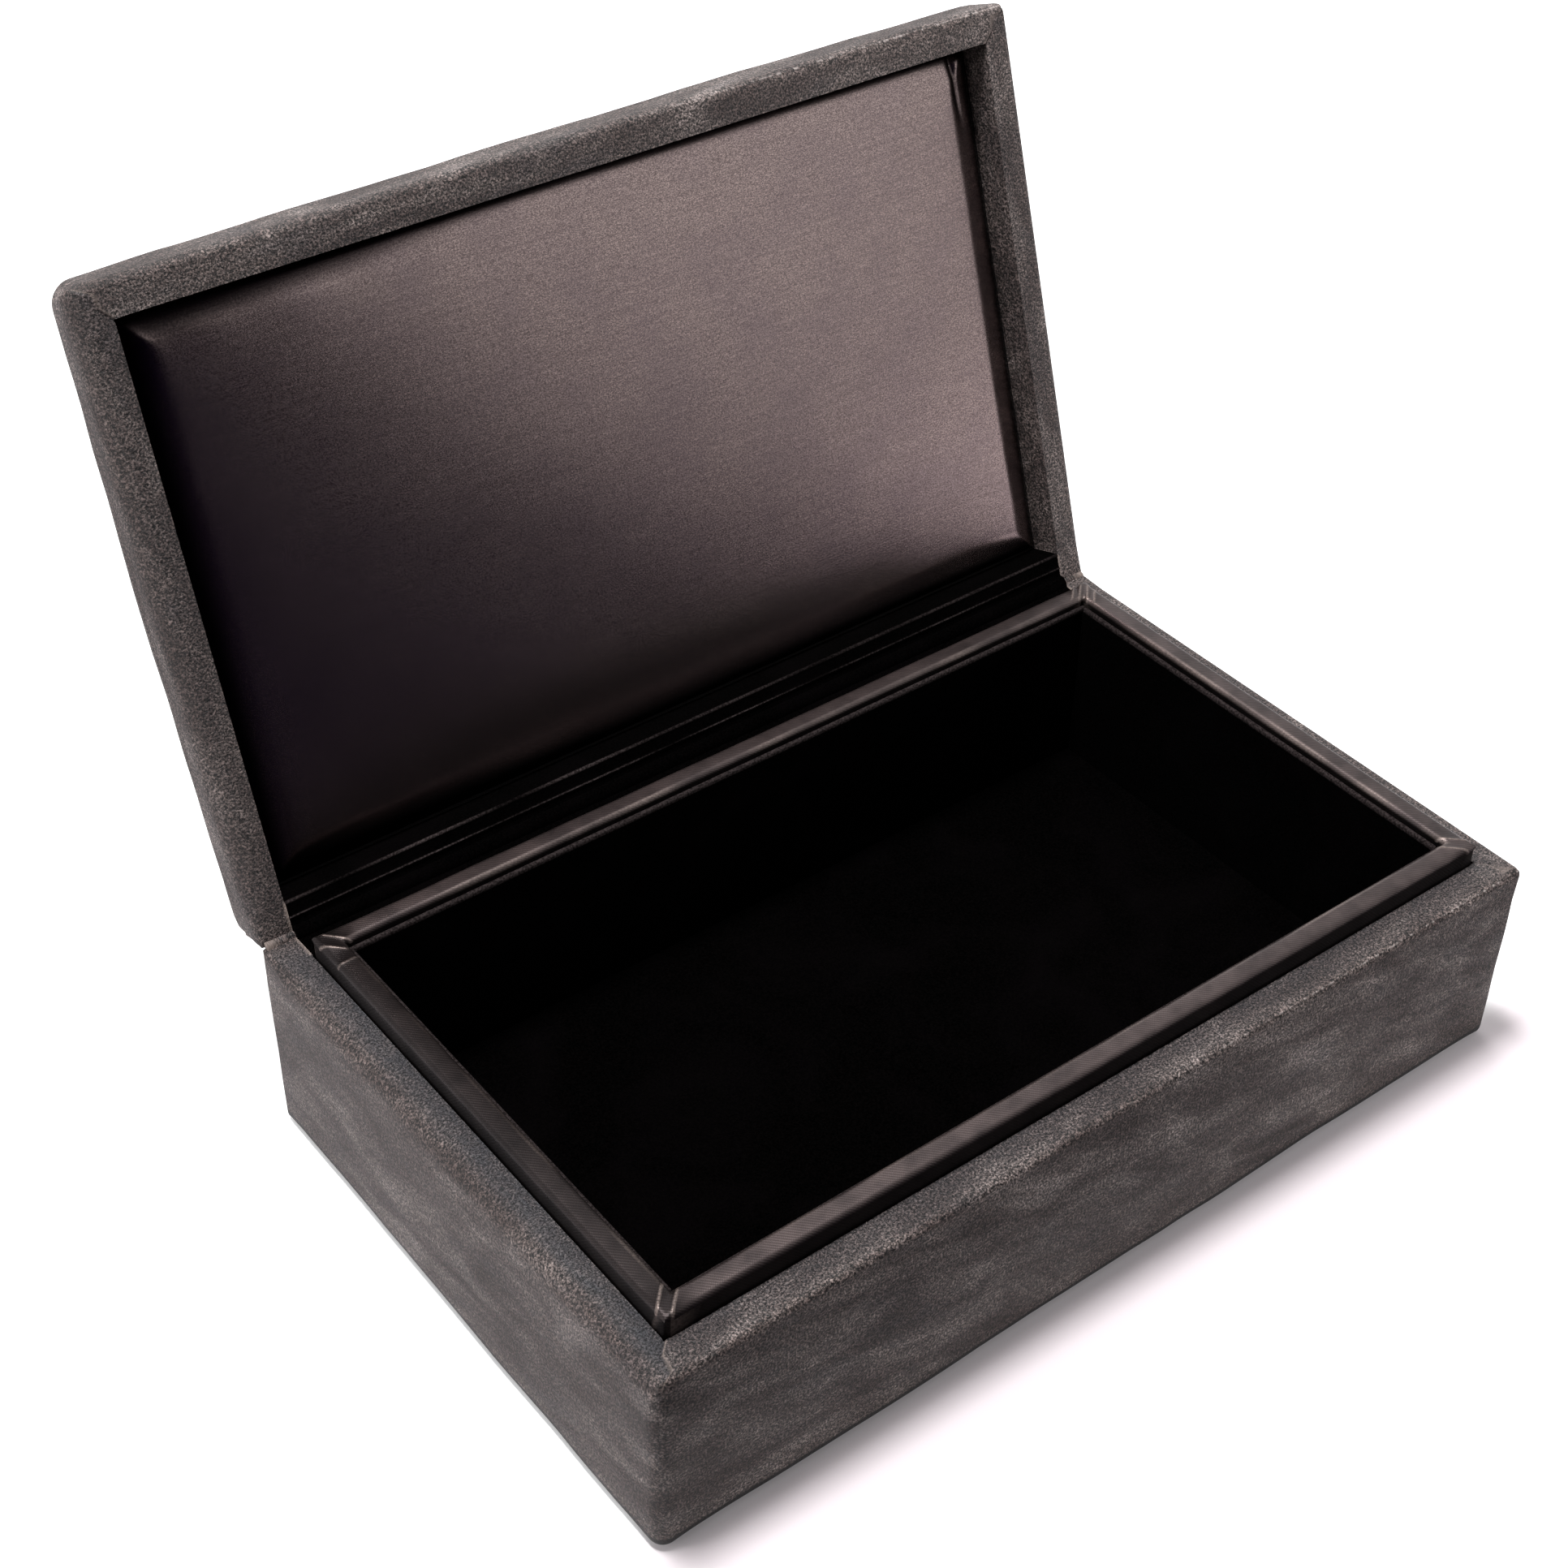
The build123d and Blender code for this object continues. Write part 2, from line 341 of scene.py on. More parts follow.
# Finishes
def shade(red, green, blue):
    """Colour from the 0 to 255 values of a swatch."""

    def linear(value):
        value /= 255
        return value / 12.92 if value <= 0.04045 else ((value + 0.055) / 1.055) ** 2.4

    return (linear(red), linear(green), linear(blue), 1)


class Nodes:
    """Nodes of a material or of the world. A colour of three values is a swatch's."""

    def __init__(self, owner):
        owner.use_nodes = True
        self.tree = owner.node_tree

    def feed(self, socket, value):
        """Give an input a value, a swatch or another node's output."""
        if isinstance(value, bpy.types.NodeSocket):
            self.tree.links.new(value, socket)
        elif socket.type == "RGBA" and len(value) == 3:
            socket.default_value = shade(*value)
        else:
            socket.default_value = value

    def feed_all(self, node, inputs):
        for name, value in inputs.items():
            self.feed(node.inputs[name], value)

    def tool(self, kind, inputs=None, **settings):
        """A node with its settings, and its inputs by name or number."""
        made = self.tree.nodes.new(kind)
        for key, value in settings.items():
            setattr(made, key, value)
        self.feed_all(made, inputs or {})
        return made

    def sums(self, operation, *values):
        made = self.tool("ShaderNodeMath", dict(enumerate(values)), operation=operation)
        return made.outputs[0]

    def times(self, first, second, *plus):
        operation = "MULTIPLY_ADD" if plus else "MULTIPLY"
        return self.sums(operation, first, second, *plus)

    def vector_sums(self, operation, *vectors):
        made = self.tool("ShaderNodeVectorMath", dict(enumerate(vectors)), operation=operation)
        return made.outputs["Value"]

    def mix(self, share, first, second, kind="MIX"):
        """The second colour over the first, by a share."""
        inputs = {0: share, 6: first, 7: second}
        made = self.tool("ShaderNodeMix", inputs, data_type="RGBA", blend_type=kind)
        return made.outputs[2]

    def ramp(self, value, *stops):
        """Swatches or greys along a value, as (place, swatch or grey)."""
        made = self.tool("ShaderNodeValToRGB", {"Fac": value})
        elements = made.color_ramp.elements
        while len(elements) < len(stops):
            elements.new(0.5)
        for element, (place, colour) in zip(elements, stops):
            element.position = place
            swatch = isinstance(colour, tuple)
            element.color = shade(*colour) if swatch else (colour, colour, colour, 1)
        return made.outputs["Color"]

    def tint(self, colour, value, low, high, swatch):
        """Lay a swatch over a colour, by a ramp from low to high, each (place, share)."""
        return self.mix(self.ramp(value, low, high), colour, swatch)

    def grain(self, where, size, detail=2.0, wander=0.0, roughness=0.5):
        """Cloudy pattern with features of about that size."""
        inputs = {"Vector": where, "Scale": 1 / size, "Detail": detail}
        inputs.update({"Distortion": wander, "Roughness": roughness})
        return self.tool("ShaderNodeTexNoise", inputs).outputs["Fac"]

    def cells(self, where, size):
        """Distance to the middle of small cells."""
        inputs = {"Vector": where, "Scale": 1 / size}
        return self.tool("ShaderNodeTexVoronoi", inputs).outputs["Distance"]

    def ribs(self, where, axis, pitch):
        """Fine even ribs across an axis."""
        along = self.times(self.vector_sums("DOT_PRODUCT", where, axis), math.tau / pitch)
        return self.times(self.sums("SINE", along), 0.5, 0.5)

    def place(self):
        return self.tool("ShaderNodeTexCoord").outputs["Object"]

    def turned(self, degrees=(0, 0, 0), stretch=(1, 1, 1), place=None):
        """Place on the piece, turned and then stretched for a pattern."""
        turn = [math.radians(angle) for angle in degrees]
        inputs = {"Vector": place or self.place(), "Rotation": turn}
        place = self.tool("ShaderNodeMapping", inputs).outputs["Vector"]
        inputs = {"Vector": place, "Scale": stretch}
        return self.tool("ShaderNodeMapping", inputs).outputs["Vector"]

    def mark(self, name, output="Fac"):
        """What a piece's own attribute says."""
        return self.tool("ShaderNodeAttribute", attribute_name=name).outputs[output]

    def looks(self, colour, roughness, height, depth, strength, metallic=0.0, specular=0.5):
        """What a surface shows. Its relief has a height, scaled by a depth and a strength."""
        relief = {"Height": height, "Distance": depth, "Strength": strength}
        return {
            "Base Color": colour,
            "Roughness": roughness,
            "Metallic": metallic,
            "Specular IOR Level": specular,
            "Normal": self.tool("ShaderNodeBump", relief).outputs["Normal"],
        }

    def rays(self):
        """Camera rays, and all rays that see a surface: camera, glossy and transmission."""
        path = self.tool("ShaderNodeLightPath")
        camera, glossy, through = (
            path.outputs[f"Is {kind} Ray"] for kind in ("Camera", "Glossy", "Transmission")
        )
        return camera, self.sums("MAXIMUM", self.sums("MAXIMUM", camera, glossy), through)


def new_finish(make):
    """Material with the looks that its function makes."""
    finish = bpy.data.materials.new(make.__name__)
    nodes = Nodes(finish)
    nodes.feed_all(nodes.tree.nodes["Principled BSDF"], make(nodes))
    return finish


def nubuck_leather(nodes):
    """Dark grey-brown brushed leather: wormy grain, pale scuffed streaks, wrinkles and a painted
    highlight along the front crest, and painted shade beside the lip and along the foot.
    """
    hide = nodes.mark("hide", "Vector")
    where = nodes.turned(place=hide)
    along = nodes.turned((0, 12, 10), (0.27, 1, 1), hide)
    across = nodes.turned((12, 0, 10), (1, 0.27, 1), hide)
    crossways = nodes.mark("crossways")

    def streaks(size, detail):
        ways = [nodes.grain(way, size, detail, 0.5, 0.6) for way in (along, across)]
        return nodes.mix(crossways, *ways)

    patches = streaks(6.5 * mm, 5.0)
    cool = streaks(4 * mm, 3.0)
    clouds = nodes.grain(where, 30 * mm)
    creases = nodes.grain(where, 0.62 * mm, 1.5, 0.6)
    creases = nodes.sums("ABSOLUTE", nodes.sums("SUBTRACT", creases, 0.5))
    creases = nodes.ramp(creases, (0.0, 0.9), (0.06, 0.0))
    fine = nodes.grain(where, 0.42 * mm, 1.0, 0.0, 0.7)
    coarse = nodes.grain(where, 1.0 * mm, 1.0)
    colour = nodes.ramp(
        patches,
        (0.34, (58, 49, 47)),
        (0.46, (77, 67, 65)),
        (0.56, (96, 86, 83)),
        (0.68, (124, 113, 110)),
    )
    colour = nodes.tint(colour, clouds, (0.38, 0.0), (0.66, 0.5), (68, 57, 54))
    colour = nodes.tint(colour, cool, (0.54, 0.0), (0.7, 0.35), (60, 57, 60))
    colour = nodes.mix(creases, colour, (18, 14, 14))
    for pattern, stops in (
        (fine, ((0.36, 0.06), (0.5, 0.95), (0.64, 2.4))),
        (coarse, ((0.38, 0.75), (0.5, 1.0), (0.62, 1.25))),
    ):
        colour = nodes.mix(1.0, colour, nodes.ramp(pattern, *stops), "MULTIPLY")
    # Painted shade on the rims beside the lip: a dark, cool nap laid over the grain where the mark
    # says.
    painted_shade = nodes.ramp(cool, (0.35, 1.0), (0.65, 0.5))
    painted_shade = nodes.times(nodes.mark("painted_shade"), painted_shade)
    shadow_nap = nodes.ramp(fine, (0.36, (14, 14, 17)), (0.64, (62, 62, 67)))
    colour = nodes.mix(painted_shade, colour, shadow_nap)
    # Painted highlight: pale dashes on the wrinkled front crest, where the crest catches light. The
    # wrinkles are also bumped.
    crest_and_highlight = nodes.mark("crest_and_highlight")
    wrinkles = nodes.turned(stretch=(1, 0.2, 0.2), place=hide)
    wrinkles = nodes.grain(wrinkles, 0.9 * mm, 3.0, 0.0, 0.6)
    painted_highlight = nodes.times(crest_and_highlight, nodes.ramp(wrinkles, (0.5, 0.0), (0.64, 0.85)))
    colour = nodes.mix(painted_highlight, colour, (196, 184, 180))
    colour = nodes.mix(nodes.mark("pale_edge"), colour, (138, 124, 117))
    # Painted shade: a dark line along the leather's foot, where it meets the floor.
    colour = nodes.mix(nodes.mark("foot"), colour, (10, 8, 8))
    height = nodes.times(creases, -1.0, nodes.times(fine, 2.2))
    wrinkled = nodes.times(crest_and_highlight, wrinkles)
    height = nodes.times(wrinkled, 3.0, height)
    roughness = nodes.ramp(patches, (0.3, 0.68), (0.7, 0.52))
    return nodes.looks(colour, roughness, height, 0.08 * mm, 1.0, specular=0.4)


def shield_twill(nodes):
    """Dark shielding twill on the lip, with a dull metal thread and pale frayed fold edges."""
    where = nodes.turned()
    wave = nodes.ribs(where, (1, 1, 1), 0.75 * mm)
    threads = nodes.ribs(where, (1, -1, 1), 0.45 * mm)
    slubs = nodes.grain(where, 5 * mm, 4.0)
    colour = nodes.mix(wave, (68, 59, 58), (88, 78, 77))
    colour = nodes.tint(colour, slubs, (0.35, 0.0), (0.75, 0.7), (36, 32, 33))
    fray = nodes.ramp(nodes.grain(where, 0.5 * mm, 3.0), (0.35, 0.4), (0.6, 1.0))
    frayed = nodes.times(nodes.mark("pale_edge"), fray)
    # Painted shade on the lip's sides, and less of it along its left run.
    colour = nodes.mix(nodes.mark("painted_shade"), colour, (9, 7, 8))
    colour = nodes.mix(frayed, colour, (140, 126, 120))
    height = nodes.times(threads, 0.4, wave)
    return nodes.looks(colour, 0.42, height, 0.03 * mm, 0.4, metallic=0.85)


def shield_satin(nodes):
    """Mauve-brown conductive satin of the lid cushion: a fine weave with short floats."""
    upright = (-math.degrees(lean), 0, 0)
    floats = nodes.grain(nodes.turned(upright, (0.6, 1, 1)), 0.2 * mm, 1.0, 0.0, 0.8)
    warp = nodes.grain(nodes.turned(upright, (1, 0.03, 1)), 0.4 * mm)
    weft = nodes.grain(nodes.turned(upright, (0.025, 1, 1)), 0.36 * mm)
    clouds = nodes.grain(nodes.turned(upright), 12 * mm, 3.0)
    thread = nodes.times(weft, 0.65, nodes.times(warp, 0.35))
    swatches = (0.34, (104, 91, 90)), (0.5, (142, 126, 124)), (0.66, (174, 156, 152))
    colour = nodes.ramp(floats, *swatches)
    colour = nodes.tint(colour, thread, (0.4, 0.25), (0.56, 0.0), (98, 85, 86))
    colour = nodes.tint(colour, clouds, (0.4, 0.0), (0.7, 0.25), (112, 98, 104))
    # Painted shade at the cushion's edges, widest at its left, and in its crease.
    colour = nodes.mix(nodes.mark("painted_shade"), colour, (14, 10, 12))
    height = nodes.times(thread, 1.5, floats)
    return nodes.looks(colour, 0.27, height, 0.015 * mm, 0.5, metallic=1.0)


def black_velvet(nodes):
    """Deep black pile."""
    where = nodes.turned()
    pile = nodes.grain(where, 0.4 * mm, 3.0)
    brushed = nodes.grain(where, 22 * mm, 3.0, 0.8)
    colour = nodes.ramp(pile, (0.35, (1, 1, 1)), (0.7, (5, 4, 4)))
    colour = nodes.tint(colour, brushed, (0.45, 0.0), (0.75, 0.5), (8, 6, 7))
    # Paler pile where a piece marks it: a painted sheen along the panels' tops, and paler lines on
    # the hinge strip.
    pale_pile = nodes.ramp(pile, (0.4, 0.3), (0.6, 1.0))
    pale_pile = nodes.times(nodes.mark("pale_edge"), pale_pile)
    colour = nodes.mix(pale_pile, colour, (84, 75, 75))
    looks = nodes.looks(colour, 0.95, pile, 0.15 * mm, 0.6, specular=0.0)
    return {**looks, "Sheen Weight": 0.006, "Sheen Roughness": 0.4}


def shield_lining(nodes):
    """Woven shielding cloth behind the velvet and the cushion, grey in itself but painted near
    black, as painted shade for the dark gap round the cushion.
    """
    where = nodes.turned()
    warp = nodes.ribs(where, (1, 0.3, 0.2), 0.5 * mm)
    weft = nodes.ribs(where, (0.2, 1, 1), 0.5 * mm)
    colour = nodes.mix(nodes.times(warp, weft), (14, 12, 12), (36, 33, 33))
    return nodes.looks(colour, 0.8, nodes.sums("ADD", warp, weft), 0.04 * mm, 0.5, specular=0.15)


def base_cover_sheet(nodes):
    """Black textured paper under the box."""
    where = nodes.turned()
    dust = nodes.grain(where, 6 * mm, 4.0)
    colour = nodes.ramp(dust, (0.3, (18, 17, 18)), (0.75, (34, 32, 32)))
    return nodes.looks(colour, 0.7, nodes.cells(where, 0.7 * mm), 0.1 * mm, 0.6)


def fibreboard(nodes):
    """Brown pressed fibre."""
    fibres = nodes.grain(nodes.turned((0, 0, 12), (0.25, 1, 1)), 0.7 * mm, 5.0)
    colour = nodes.ramp(fibres, (0.3, (120, 92, 64)), (0.7, (164, 132, 98)))
    return nodes.looks(colour, 0.85, fibres, 0.08 * mm, 0.5)


def greyboard(nodes):
    """Grey book board."""
    specks = nodes.grain(nodes.turned(), 0.9 * mm, 5.0)
    swatches = (0.3, (112, 108, 102)), (0.55, (142, 138, 130)), (0.75, (160, 152, 140))
    return nodes.looks(nodes.ramp(specks, *swatches), 0.9, specks, 0.06 * mm, 0.4)


def soft_foam(nodes):
    """Pale cut foam with small cells."""
    cells = nodes.cells(nodes.turned(), 0.6 * mm)
    colour = nodes.ramp(cells, (0.1, (150, 146, 138)), (0.6, (206, 202, 194)))
    return nodes.looks(colour, 0.95, cells, 0.2 * mm, 0.7)


leather, twill, satin, velvet = map(
    new_finish, (nubuck_leather, shield_twill, shield_satin, black_velvet)
)
lining, cover_sheet, fibre, grey, foam = map(
    new_finish, (shield_lining, base_cover_sheet, fibreboard, greyboard, soft_foam)
)


# Leather over the padded box and lid
def corner_seam(piece, across_x, across_y):
    """Cut the rim's leather from its inner to its outer corner, with a few cuts beside it."""
    near_corner = 3 * rim_width

    def at_corner(face):
        return all(
            point.co.z < 6 * mm
            and max(inset_of(point.co)) < near_corner
            and point.co.x * across_x > 0
            and point.co.y * across_y > 0
            for point in face.verts
        )

    corner = Vector((across_x * half_length, across_y * half_width, 0))
    square_to_seam = Vector((across_y, -across_x, 0)).normalized()
    beside_seam = (-0.9, -0.45, -0.2, 0, 0.2, 0.45, 0.9)
    cut_faces(piece, at_corner, corner, square_to_seam, beside_seam)


def edge_radii(piece, hinge_side, front, corner_radii, round_top):
    """Draw the round edges tighter where the leather is pulled tighter, below the round top."""

    def tighter(place, normal):
        from_end, from_long = inset_of(place)
        on_right = place.x > 0
        at_front = place.y * hinge_side < 0
        to_hinge = ease(half_width - hinge_side * place.y, 2 * mm, 11 * mm)
        end_radius = right_edge if on_right else hinge_edge + (soft_edge - hinge_edge) * to_hinge
        long_radius = front if at_front else hinge_edge
        corner_radius = corner_radii[on_right] if at_front else hinge_corner
        near_rim = 1 - ease(place.z, 0.8 * soft_edge, 1.6 * soft_edge)
        corner_scale = corner_radius / soft_edge
        corner_scale += (1 - corner_scale) * ease(place.z, round_top - 6.5 * mm, round_top - 3 * mm)
        end_scale, long_scale = end_radius / soft_edge, long_radius / soft_edge
        shift = Vector()
        ways = (from_end, from_long, end_scale), (from_long, from_end, long_scale)
        for axis, (inset, beside, scale) in enumerate(ways):
            if inset < soft_edge and (beside < soft_edge or near_rim > 0):
                scale = corner_scale + (scale - corner_scale) * near_rim
                shift[axis] = math.copysign(inset * (1 - scale), place[axis])
        by_end = max(0.0, 1 - from_end / soft_edge)
        by_long = max(0.0, 1 - from_long / soft_edge)
        if by_end + by_long > 0 and place.z < soft_edge:
            scale = (by_end * end_scale + by_long * long_scale) / (by_end + by_long)
            shift.z = place.z * (scale - 1)
        return shift

    shift_points(piece, tighter)


def flap(place, normal):
    """The front's and back's leather folds over the ends' at the corners: a step at the seam."""
    if place.z > 5 * mm or abs(place.x) < half_length - 12 * mm:
        return Vector()
    past = past_seam(place) / mm
    step = 0.14 * bell(past, 0.35, 0.4) - 0.2 * bell(past, -0.2, 0.22)
    return normal * step * (1 - ease(place.z, 2.2 * mm, 5 * mm)) * mm


def leather_marks(piece, hinge_side, shaded, foot_line):
    """Write where the leather's front crest gets wrinkles and a painted highlight, where it gets
    painted shade beside the lip and along its foot, where it is cut, and which way it runs.
    """
    names = ("crest_and_highlight", "painted_shade", "pale_edge", "crossways", "foot")
    crest_and_highlight, painted_shade, pale_edge, crossways, foot = add_marks(piece, names)
    for index, point in enumerate(piece.data.vertices):
        place = point.co
        from_front = half_width + hinge_side * place.y
        from_hinge = half_width - hinge_side * place.y
        from_end, from_long = inset_of(place)
        inset = min(from_end, from_long)
        on_end = past_seam(place) < 0 and place.z < rim_width or from_end < 1.5 * mm
        crossways[index].value = 1.0 if on_end else 0.0
        foot[index].value = 1.0 if place.z > foot_line else 0.0
        # The front crest, for its wrinkles and its painted highlight, which fades out to the left.
        if from_front + place.z < soft_edge and from_end > 1.5 * mm:
            to_right = 0.06 + 0.94 * ease(place.x, -0.3 * half_length, 0.8 * half_length)
            crest_and_highlight[index].value = to_right * bell(from_front - place.z, -0.1 * mm, 0.6 * mm)
        # Painted shade on the rim beside the lip, widest on the left rim and weaker elsewhere.
        if place.z < 3 * mm and place.x < 0 and from_end < from_long:
            painted_shade[index].value = shaded * ease(inset - place.z, -0.5 * mm, 4.4 * mm)
        elif place.z < 1.5 * mm:
            painted_shade[index].value = 0.6 * shaded * ease(inset, 2.4 * mm, 5.4 * mm)
        on_strip_end = near(abs(place.x), strip_half_length, 0.3 * mm) and place.z < 1 * mm
        past_strip = from_end < half_length - strip_half_length
        if past_strip and near(from_hinge, 0) and near(place.z, 0):
            pale_edge[index].value = 0.5
        elif on_strip_end and from_hinge < rim_width - 0.4 * mm:
            pale_edge[index].value = 0.8
        elif place.z < 3 * mm and inset < rim_width and from_hinge > 20 * mm:
            pale_edge[index].value = 0.5 * bell(past_seam(place), 0.22 * mm, 0.15 * mm)


def leather_shell(name, depth, hinge_side, turned_in, foot, front, corner_radii, shaded):
    """Leather of the box or lid: rounded outside, turned in at the rim, cut out at the hinge."""
    # Past this line, the last 2 mm of the box leather at its foot get a painted shade line. The lid
    # has none.
    foot_line = depth - 2 * mm if foot else 2 * depth

    def outer_edge(edge):
        place = middle(edge)
        on_rim = near(place.z, 0)
        at_corner = near(abs(place.y), half_width)
        at_end = near(abs(place.x), half_length) and (at_corner or on_rim)
        at_front = near(place.y, -hinge_side * half_width) and on_rim
        return at_end or at_front or not foot and near(place.z, depth)

    def foot_edge(edge):
        return (
            near(middle(edge).z, depth)
            and all(min(inset_of(point.co)) < 5 * mm for point in edge.verts)
            and len(edge.link_faces) == 2
            and any(abs(face.normal.z) < 0.5 for face in edge.link_faces)
        )

    def taken_by_hinge(face):
        place = face.calc_center_median()
        from_back = half_width - hinge_side * place.y
        if from_back < leather_thickness:
            return place.z < spine_reach and abs(place.x) < spine_half_length
        on_rim = from_back < rim_width + 0.1 * mm and place.z < turned_in
        return on_rim and abs(place.x) < strip_half_length

    def padding(place, normal):
        if min(inset_of(place)) > rim_width - 0.3 * mm and place.z < depth - 1 * mm:
            return Vector()
        along = 1 - (place.x / half_length) ** 2
        across = 1 - (place.y / half_width) ** 2
        down = 1 - (2 * place.z / depth - 1) ** 2
        if abs(normal.z) > 0.7:
            full = along * across if place.z > 2 * mm else 0
        else:
            full = down * (across if abs(normal.x) > 0.7 else along)
        soft = 0.35 * uneven(*place * 38) + 0.12 * uneven(*place * 110)
        calm = clamp((place.z - 1.5 * mm) / (6 * mm))
        if half_width - hinge_side * place.y < 2 * mm:
            calm *= clamp((place.z - spine_reach) / (8 * mm))
        return normal * mm * calm * (0.55 * max(0, full) + soft)

    piece = block(name, (-half_length, -half_width, 0), (half_length, half_width, depth))
    open_up(piece, looks_down, rim_width, turned_in)
    if foot:
        open_up(piece, looks_up, foot)
    choose(piece, "EDGE", outer_edge)
    bevel(soft_edge, 8)
    if foot:
        choose(piece, "EDGE", foot_edge)
        bevel(foot_radius, 4)
    cut_grid(half_length - 4 * mm, half_width - 4 * mm, 4 * mm)
    levels = range(int(depth / (4.3 * mm)) - 1)
    cut_across((0, 0, 1), [spine_reach + level * 4.2 * mm for level in levels])
    for side in (-1, 1):
        corner_seam(piece, side, -hinge_side)
    for side in (-1, 1):
        ends = (strip_half_length, strip_half_length + 0.6 * mm, spine_half_length)
        cut_across((side, 0, 0), ends)
    inner_rim = half_width - rim_width + 0.5 * mm
    cut_across((0, hinge_side, 0), [half_width - leather_thickness, inner_rim])
    cut_across((0, 0, 1), [spine_reach, foot_line - 0.3 * mm, foot_line + 0.1 * mm])
    delete_faces(piece, taken_by_hinge)
    choose_all()
    bpy.ops.mesh.remove_doubles(threshold=0.06 * mm)
    close_outwards()
    leather_marks(piece, hinge_side, shaded, foot_line)
    edge_radii(piece, hinge_side, front, corner_radii, 2 * depth if foot else depth)
    lay_out_hide(piece)
    shift_points(piece, padding)
    shift_points(piece, flap)
    thicken(piece, leather_thickness)
    smooth()
    return piece


corner_radii = (loose_corner, right_edge)
box_leather = leather_shell(
    "box_leather", box_leather_depth, -1, box_turned_in, foot_width, front_edge, corner_radii, 1.0
)
put(box_leather, on_box, "box", leather, "box_leather_cover")

corner_radii = (loose_corner, loose_corner)
lid_leather = leather_shell(
    "lid_leather", lid_thickness, 1, lid_turned_in, 0, lid_front_edge, corner_radii, 0.25
)
put(lid_leather, on_lid, "lid", leather, "lid_leather_cover")


# Hinge: leather spine outside, velvet strip inside
add_plane = bpy.ops.mesh.primitive_plane_add


def band(name, half, outline, towards):
    """Band along the box that follows an outline of (y, z) places and faces the given way."""
    y, z = outline[0]
    piece = begin(add_plane, name, size=2 * half, location=(0, y + half, z))
    choose(piece, "VERT", lambda point: point.co.y > y + half)
    bpy.ops.mesh.delete(type="VERT")
    bpy.ops.mesh.select_mode(type="EDGE")
    choose_all()
    for before, after in zip(outline, outline[1:]):
        extrude(0, after[0] - before[0], after[1] - before[1])
    cut_across((1, 0, 0), steps(half, 3 * mm))
    close_outwards()
    total = sum((face.normal * face.area for face in piece.data.polygons), Vector())
    if total.dot(Vector(towards)) < 0:
        bpy.ops.object.mode_set(mode="EDIT")
        bpy.ops.mesh.flip_normals()
        close()
    return piece


def by_hinge(up, out):
    """Place in the hinge's cross-section: distance up the lid and out behind its rim."""
    place = hinge_line + up * up_the_lid + out * out_of_lid
    return (place.y, place.z)


def hinge_arc(radius, count):
    """Places round the hinge line, from over the box's rim to the lid's rim."""
    turns = [lean * step / count for step in range(count + 1)]
    y, z = hinge_line.yz
    return [(y - radius * math.cos(turn), z + radius * math.sin(turn)) for turn in turns]


def bend_at_hinge(piece):
    """Bake a band's place into its mesh. The band lies across the fold between box and lid."""
    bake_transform(piece)


def spine_folds(place, normal):
    """Small gathers where the leather bunches at its two ends and a soft wave along the fold."""
    end = max(0.0, 1 - (spine_half_length - abs(place.x)) / (9 * mm))
    fold = bell((place - hinge_line).yz.length, 0, 3 * mm)
    gather = 0.5 * math.sin(place.x * 2.1 / mm) * end + 0.35 * uneven(*place * 160)
    return normal * mm * fold * gather * 0.6


down_the_spine = (8, 6.5, 5, 3.6, 2.4, 1.5, 0.8, 0.3)
spine_outline = [(half_width, hinge_line.z - reach * mm) for reach in down_the_spine]
spine_outline += [by_hinge(0, reach * mm) for reach in reversed(down_the_spine)]
spine = band("spine_leather", spine_half_length, spine_outline, (0, 0.3, -1))
lay_out_hide(spine)
spine_end = spine_half_length - 0.6 * mm
write_mark(spine, "pale_edge", lambda place: 0.8 if abs(place.x) > spine_end else 0.0)
shift_points(spine, spine_folds)
thicken(spine, leather_thickness)
smooth(60)
put(spine, in_place, None, leather, "leather_spine")
bend_at_hinge(spine)


def strip_waves(place, normal):
    """The velvet lies a little unevenly."""
    return normal * mm * 0.1 * uneven(place.x * 60, place.y * 200, place.z * 200)


def pale_strip_marks(place):
    """The pile is paler on the strip's ridge and where it goes into the lid, here and there."""
    up = (place - hinge_line).dot(up_the_lid) / mm
    out = -(place - hinge_line).dot(out_of_lid) / mm
    on_ridge = 3.25 < up < 3.55 and out > 0
    on_rim = rim_width / mm - 0.4 < up < rim_width / mm + 0.05 and out > -0.3
    wander = 0.55 + 0.9 * uneven(place.x * 55, 3.0 * on_rim, 0)
    wander *= 1 - 0.5 * ease(place.x, -0.6 * half_length, 0.6 * half_length)
    return max(0.0, (0.85 if on_ridge else 0.6 if on_rim else 0.0) * wander)


inside_rim = half_width - rim_width
down_in_box = ((0, 12.8), (0, 6), (0, 0.6), (0.2, 0.15))
over_box_rim = (6.1, 5.2, 4.2, 3.2, 2.4)
up_the_rail = ((2.4, 0), (2.9, 0), (3.15, 0.1), (3.3, 0.3), (3.5, 0.3), (3.65, 0.1))
over_rail = (3.9, 4.6, 5.4, 6.0)
into_lid = ((-0.3, -0.12), (0, 0.05), (0.02, 0.5), (0, 4), (0, 7.4))
strip_outline = [(inside_rim + out * mm, box_height - down * mm) for out, down in down_in_box]
strip_outline += [(half_width - reach * mm, box_height) for reach in over_box_rim]
strip_outline += hinge_arc(1.7 * mm, 8)
strip_outline += [by_hinge(up * mm, rim_rise - ridge * mm) for up, ridge in up_the_rail]
strip_outline += [by_hinge(up * mm, rim_rise) for up in over_rail]
strip_outline += [by_hinge(rim_width + up * mm, rim_rise + out * mm) for up, out in into_lid]
strip = band("hinge_velvet", strip_half_length, strip_outline, (0, -1, 0.5))
write_mark(strip, "pale_edge", pale_strip_marks)
shift_points(strip, strip_waves)
